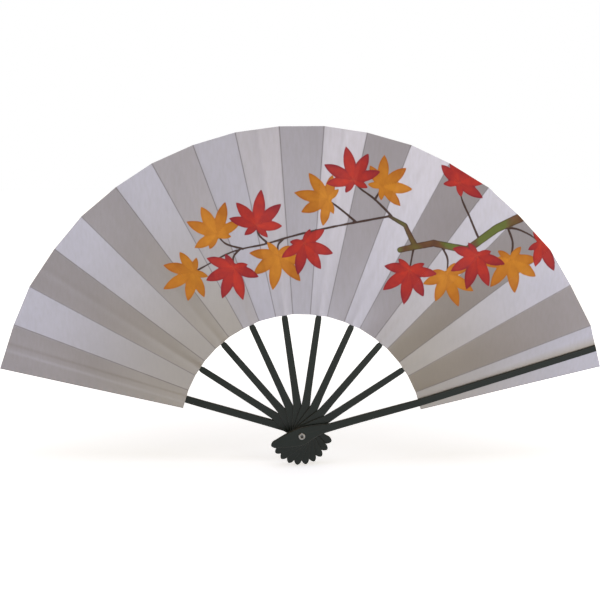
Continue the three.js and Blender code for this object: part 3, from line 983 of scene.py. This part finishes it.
def painted_shade_share(radius, angle):
    """How much painted shade darkens the silver: most at the lower edge, fading by a soft step towards the
    rim, and only to the left and right."""
    rise = (radius - LEAF_INNER) / (LEAF_OUTER - LEAF_INNER)
    aside = smooth((abs(angle - PAINTED_SHADE_MIDDLE) - PAINTED_SHADE_CLEAR) / PAINTED_SHADE_SPREAD)
    return aside * (1 - smooth(rise))


def leaf_panel(n):
    """Panel n of the leaf, counted from the left, as a thin closed sheet.

    The two parameters are the distance out along its middle and the share across, -1 at the right fold and
    1 at the left. Depth runs evenly from fold to fold. At each fold it is rounded over d millimetres by
    (change of slope) * (d - distance)^2 / 4 d. A rib's panel swells over its rib by a bell curve, most at
    the lower edge and mainly in front, and every panel is a little wavy between its folds, by a sine.
    """
    x = np.linspace(LEAF_INNER, LEAF_OUTER, PANEL_ROWS)[:, None] * HALF_COS
    near = np.sin(np.linspace(-math.pi / 2, math.pi / 2, PANEL_COLUMNS))
    u = (COLUMN_CROWD * near + (1 - COLUMN_CROWD) * np.linspace(-1, 1, PANEL_COLUMNS))[None]
    radius = x / HALF_COS
    y = u * x * HALF_TAN
    if n == 1:
        y = y + LEAF_END_MARGIN * np.clip(u, 0, None)
    if n == LAST_PANEL:
        y = y + LEAF_END_MARGIN * np.clip(u, None, 0)
    left, right = fold_heights(n, radius)
    depth = (left + right) / 2 + y / (x * HALF_TAN) * (left - right) / 2
    own = panel_slope(n, radius)
    to_fold = (1 - np.abs(u)) * x * HALF_TAN
    rounding = np.clip(FOLD_ROUND - to_fold, 0, None) ** 2 / (4 * FOLD_ROUND)
    to_left = panel_slope(n - 1, radius)
    to_right = panel_slope(n + 1, radius)
    if to_left is not None:
        depth = depth + np.where(u > 0, rounding * (to_left - own), 0)
    if to_right is not None:
        depth = depth + np.where(u < 0, rounding * (own - to_right), 0)
    between = 1 - u * u
    depth = depth + WAVE * between * np.sin(x / WAVE_LENGTH + WAVE_STEP * n + WAVE_LEAN * u)
    lower = np.exp(-(radius - LEAF_INNER) / LOWER_LENGTH)
    swell = np.zeros_like(y)
    half = FREE_HALF_THICK
    if n % 2:
        half = RIB_HALF_THICK
        swell = (SWELL + LOWER_SWELL * lower) * np.exp(-((y / SWELL_WIDTH) ** 2))
        if n == 1:
            past = np.abs(y - BACK_GUARD_BEND) - GUARD_SWELL_LEVEL
            swell = SWELL * (1 - smooth(past / GUARD_SWELL_FALL))
        if n == LAST_PANEL:
            swell = np.zeros_like(y)
            # Between the guard that holds it and its fold this panel hangs hollow
            held = GUARD_HOLD - FRONT_GUARD_BEND
            span = x * HALF_TAN - held
            hollow = 2 * (y - held) / span - 1
            depth = depth - np.where(y > held, END_HOLLOW * span * (1 - hollow**2), 0)
    else:
        depth = depth - FREE_BOW * between
    front = np.stack(np.broadcast_arrays(x, y, depth + half + swell), axis=-1)
    back = np.stack(np.broadcast_arrays(x, y, depth - half - BACK_SHARE * swell), axis=-1)

    cells = PANEL_ROWS * PANEL_COLUMNS
    index = np.arange(cells).reshape(PANEL_ROWS, PANEL_COLUMNS)
    corners = [index[:-1, :-1], index[1:, :-1], index[1:, 1:], index[:-1, 1:]]
    sheet = np.stack(corners, axis=-1).reshape(-1, 4)
    rim = np.concatenate([index[:-1, 0], index[-1, :-1], index[:0:-1, -1], index[0, :0:-1]])
    onward = np.roll(rim, -1)
    edges = np.stack([rim, rim + cells, onward + cells, onward], axis=-1)
    faces = np.concatenate([sheet, sheet[:, ::-1] + cells, edges])
    middle = rib_angle((n - 1) / 2)
    points = on_spoke(np.stack([front, back]), middle, 0.0)
    piece = make_piece(f"silver_paper_panel_{n:02d}", points, faces.tolist(), PAPER, crisp=60)

    spots = points[0, ..., :2].reshape(-1, 2)
    red, red_vein, red_tone = painted_leaves(spots, RED_LEAVES)
    orange, orange_vein, orange_tone = painted_leaves(spots, ORANGE_LEAVES)
    branch, stem = painted_branch(spots)
    plain = np.full(cells, FAR)
    fold = np.broadcast_to(to_fold, index.shape).ravel()
    # Painted shade darkens the silver at the lower corners of the leaf
    painted_shade = np.broadcast_to(painted_shade_share(radius, middle), index.shape)
    # On the last panel a painted shadow of the front guard darkens the silver beside it
    if n == LAST_PANEL:
        guard_shadow = np.where(y > held, 1 - smooth((y - held) / GUARD_SHADOW_WIDTH), 0)
        painted_shade = np.maximum(painted_shade, guard_shadow)
    painted_shade = painted_shade.ravel()
    for name, values in {
        "red_leaf": red,
        "orange_leaf": orange,
        "branch": branch,
        "stem": stem,
        "vein": np.where(red < 0, red_vein, orange_vein),
        "tone": np.where(red < 0, red_tone, orange_tone),
    }.items():
        keep_numbers(piece, name, np.concatenate([values, plain]))
    keep_numbers(piece, "fold", np.concatenate([fold, fold]))
    keep_numbers(piece, "painted_shade", np.concatenate([painted_shade, painted_shade]))
    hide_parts(f"leaf_panel_{n:02d}")
    return piece, u


def rib_body(k):
    """Name of the body that rib k belongs to."""
    if k == 0:
        return "back_guard"
    if k == RIB_COUNT - 1:
        return "front_guard"
    return f"rib_{k + 1}"


for n in range(1, LAST_PANEL + 1):
    k = (n - 1) // 2
    panel, across = leaf_panel(n)
    if n % 2:
        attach(panel, rib_body(k))
    else:
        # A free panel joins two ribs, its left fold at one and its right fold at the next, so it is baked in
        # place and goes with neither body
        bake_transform(panel)


# Studio: a white floor, a room that is white low down and dimmer overhead, and soft lamps

FLOOR_DROP = 27.6
FLOOR_HALF = 8.0


def white_floor():
    """A matt white floor that takes the fan's shadow close by and is plain white further off, from 0.1 to
    0.7 metres out."""
    material, tree, shader = new_material("white_floor")
    seen = add(tree, "ShaderNodeLightPath")
    glossy = add(
        tree,
        "ShaderNodeMath",
        {0: seen.outputs["Is Camera Ray"], 1: seen.outputs["Is Glossy Ray"]},
        operation="MAXIMUM",
    )
    shown = add(
        tree,
        "ShaderNodeMath",
        {0: glossy.outputs[0], 1: seen.outputs["Is Transmission Ray"]},
        operation="MAXIMUM",
    )
    spot = add(tree, "ShaderNodeTexCoord").outputs["Object"]
    away = add(tree, "ShaderNodeVectorMath", {0: spot}, operation="LENGTH")
    glow = add(
        tree,
        "ShaderNodeMapRange",
        {"Value": away.outputs["Value"], "From Min": 0.1, "From Max": 0.7, "To Min": 0.56, "To Max": 1.0},
        interpolation_type="SMOOTHSTEP",
    )
    strength = add(tree, "ShaderNodeMath", {0: glow.outputs[0], 1: shown.outputs[0]}, operation="MULTIPLY")
    shader.inputs["Base Color"].default_value = linear("#E6ECF6")
    shader.inputs["Roughness"].default_value = 0.9
    shader.inputs["Specular IOR Level"].default_value = 0.0
    shader.inputs["Emission Color"].default_value = (1, 1, 1, 1)
    tree.links.new(strength.outputs[0], shader.inputs["Emission Strength"])
    return material


def add_floor():
    """One square, level and just under the fan's tails."""
    mesh = bpy.data.meshes.new("studio_floor")
    h = FLOOR_HALF
    z = -FLOOR_DROP * MM
    mesh.from_pydata([(-h, -h, z), (h, -h, z), (h, h, z), (-h, h, z)], [], [(0, 1, 2, 3)])
    mesh.materials.append(white_floor())
    floor = bpy.data.objects.new("studio_floor", mesh)
    bpy.context.scene.collection.objects.link(floor)


def add_room():
    """The room round the floor: white behind and beside the fan up to 12 degrees above the horizon, and a
    dimmer warm grey overhead and in front, where the camera stands, warmest on the left."""
    world = bpy.data.worlds.new("studio_room")
    world.use_nodes = True
    tree = world.node_tree
    tree.nodes.clear()
    way = add(tree, "ShaderNodeTexCoord").outputs["Generated"]
    parts = add(tree, "ShaderNodeSeparateXYZ", {0: way})
    # Each ramp runs between two values of a direction's x, y or z, which are sines of angles
    ramps = {
        "high": ("Z", 0.2, 0.4),
        "front": ("Y", -0.35, -0.7),
        "above": ("Z", 0.0, 0.05),
        "right": ("X", -0.35, 0.2),
    }
    made = {}
    for name, (axis, start, end) in ramps.items():
        made[name] = add(
            tree,
            "ShaderNodeMapRange",
            {"Value": parts.outputs[axis], "From Min": start, "From Max": end},
        ).outputs[0]
    ahead = add(tree, "ShaderNodeMath", {0: made["front"], 1: made["above"]}, operation="MULTIPLY")
    dim = add(tree, "ShaderNodeMath", {0: made["high"], 1: ahead.outputs[0]}, operation="MAXIMUM")
    wall = add(
        tree,
        "ShaderNodeMix",
        {0: made["right"], 6: linear("#907648"), 7: linear("#A89D86")},
        data_type="RGBA",
    )
    shade = add(
        tree,
        "ShaderNodeMix",
        {0: dim.outputs[0], 6: (1, 1, 1, 1), 7: wall.outputs[2]},
        data_type="RGBA",
    )
    light = add(tree, "ShaderNodeBackground", {"Color": shade.outputs[2], "Strength": 1.0})
    add(tree, "ShaderNodeOutputWorld", {"Surface": light.outputs[0]})
    bpy.context.scene.world = world


def add_lamp(name, place, aim, size, power, colour):
    """A square soft lamp that faces a point."""
    lamp = bpy.data.lights.new(name, "AREA")
    lamp.shape = "SQUARE"
    lamp.size = size
    lamp.energy = power
    lamp.color = linear(colour)[:3]
    holder = bpy.data.objects.new(name, lamp)
    holder.location = place
    holder.rotation_euler = (Vector(aim) - Vector(place)).to_track_quat("-Z", "Y").to_euler()
    bpy.context.scene.collection.objects.link(holder)


CAMERA_TURN = math.radians(-1.8)
CAMERA_RISE = math.radians(7.0)
CAMERA_AWAY = 1.0
CAMERA_AIM = Vector((-0.00134, 0.0, 0.1172))
SENSOR_WIDTH = 36.0
PICTURE_WIDTH = 600
PIXELS_PER_MM = 1.169


def add_camera():
    """A camera one metre off and a little above the fan, with the lens that gives the picture its scale."""
    lens_data = bpy.data.cameras.new("main_camera")
    lens_data.sensor_width = SENSOR_WIDTH
    lens_data.lens = SENSOR_WIDTH * CAMERA_AWAY / (PICTURE_WIDTH / PIXELS_PER_MM * MM)
    camera = bpy.data.objects.new("main_camera", lens_data)
    flat = math.cos(CAMERA_RISE)
    back = Vector((math.sin(CAMERA_TURN) * flat, -math.cos(CAMERA_TURN) * flat, math.sin(CAMERA_RISE)))
    camera.location = CAMERA_AIM + back * CAMERA_AWAY
    camera.rotation_euler = (-back).to_track_quat("-Z", "Y").to_euler()
    bpy.context.scene.collection.objects.link(camera)
    bpy.context.scene.camera = camera


# Lamps: name, place, the point it faces, size, power and colour
LAMPS = (
    ("key_lamp", (0.95, -1.0, 0.3), (0.0, 0.0, 0.12), 0.8, 3.4, "#FFF4E6"),
    ("fill_lamp", (-1.1, -1.0, 0.45), (0.0, 0.0, 0.12), 0.8, 0.5, "#FFFFFF"),
    ("floor_lamp", (0.0, -0.35, 1.3), (0.0, -0.35, 0.0), 1.0, 6.0, "#E9ECFF"),
)

add_floor()
add_room()
add_camera()
for lamp in LAMPS:
    add_lamp(*lamp)
bpy.context.scene.view_settings.view_transform = "Standard"
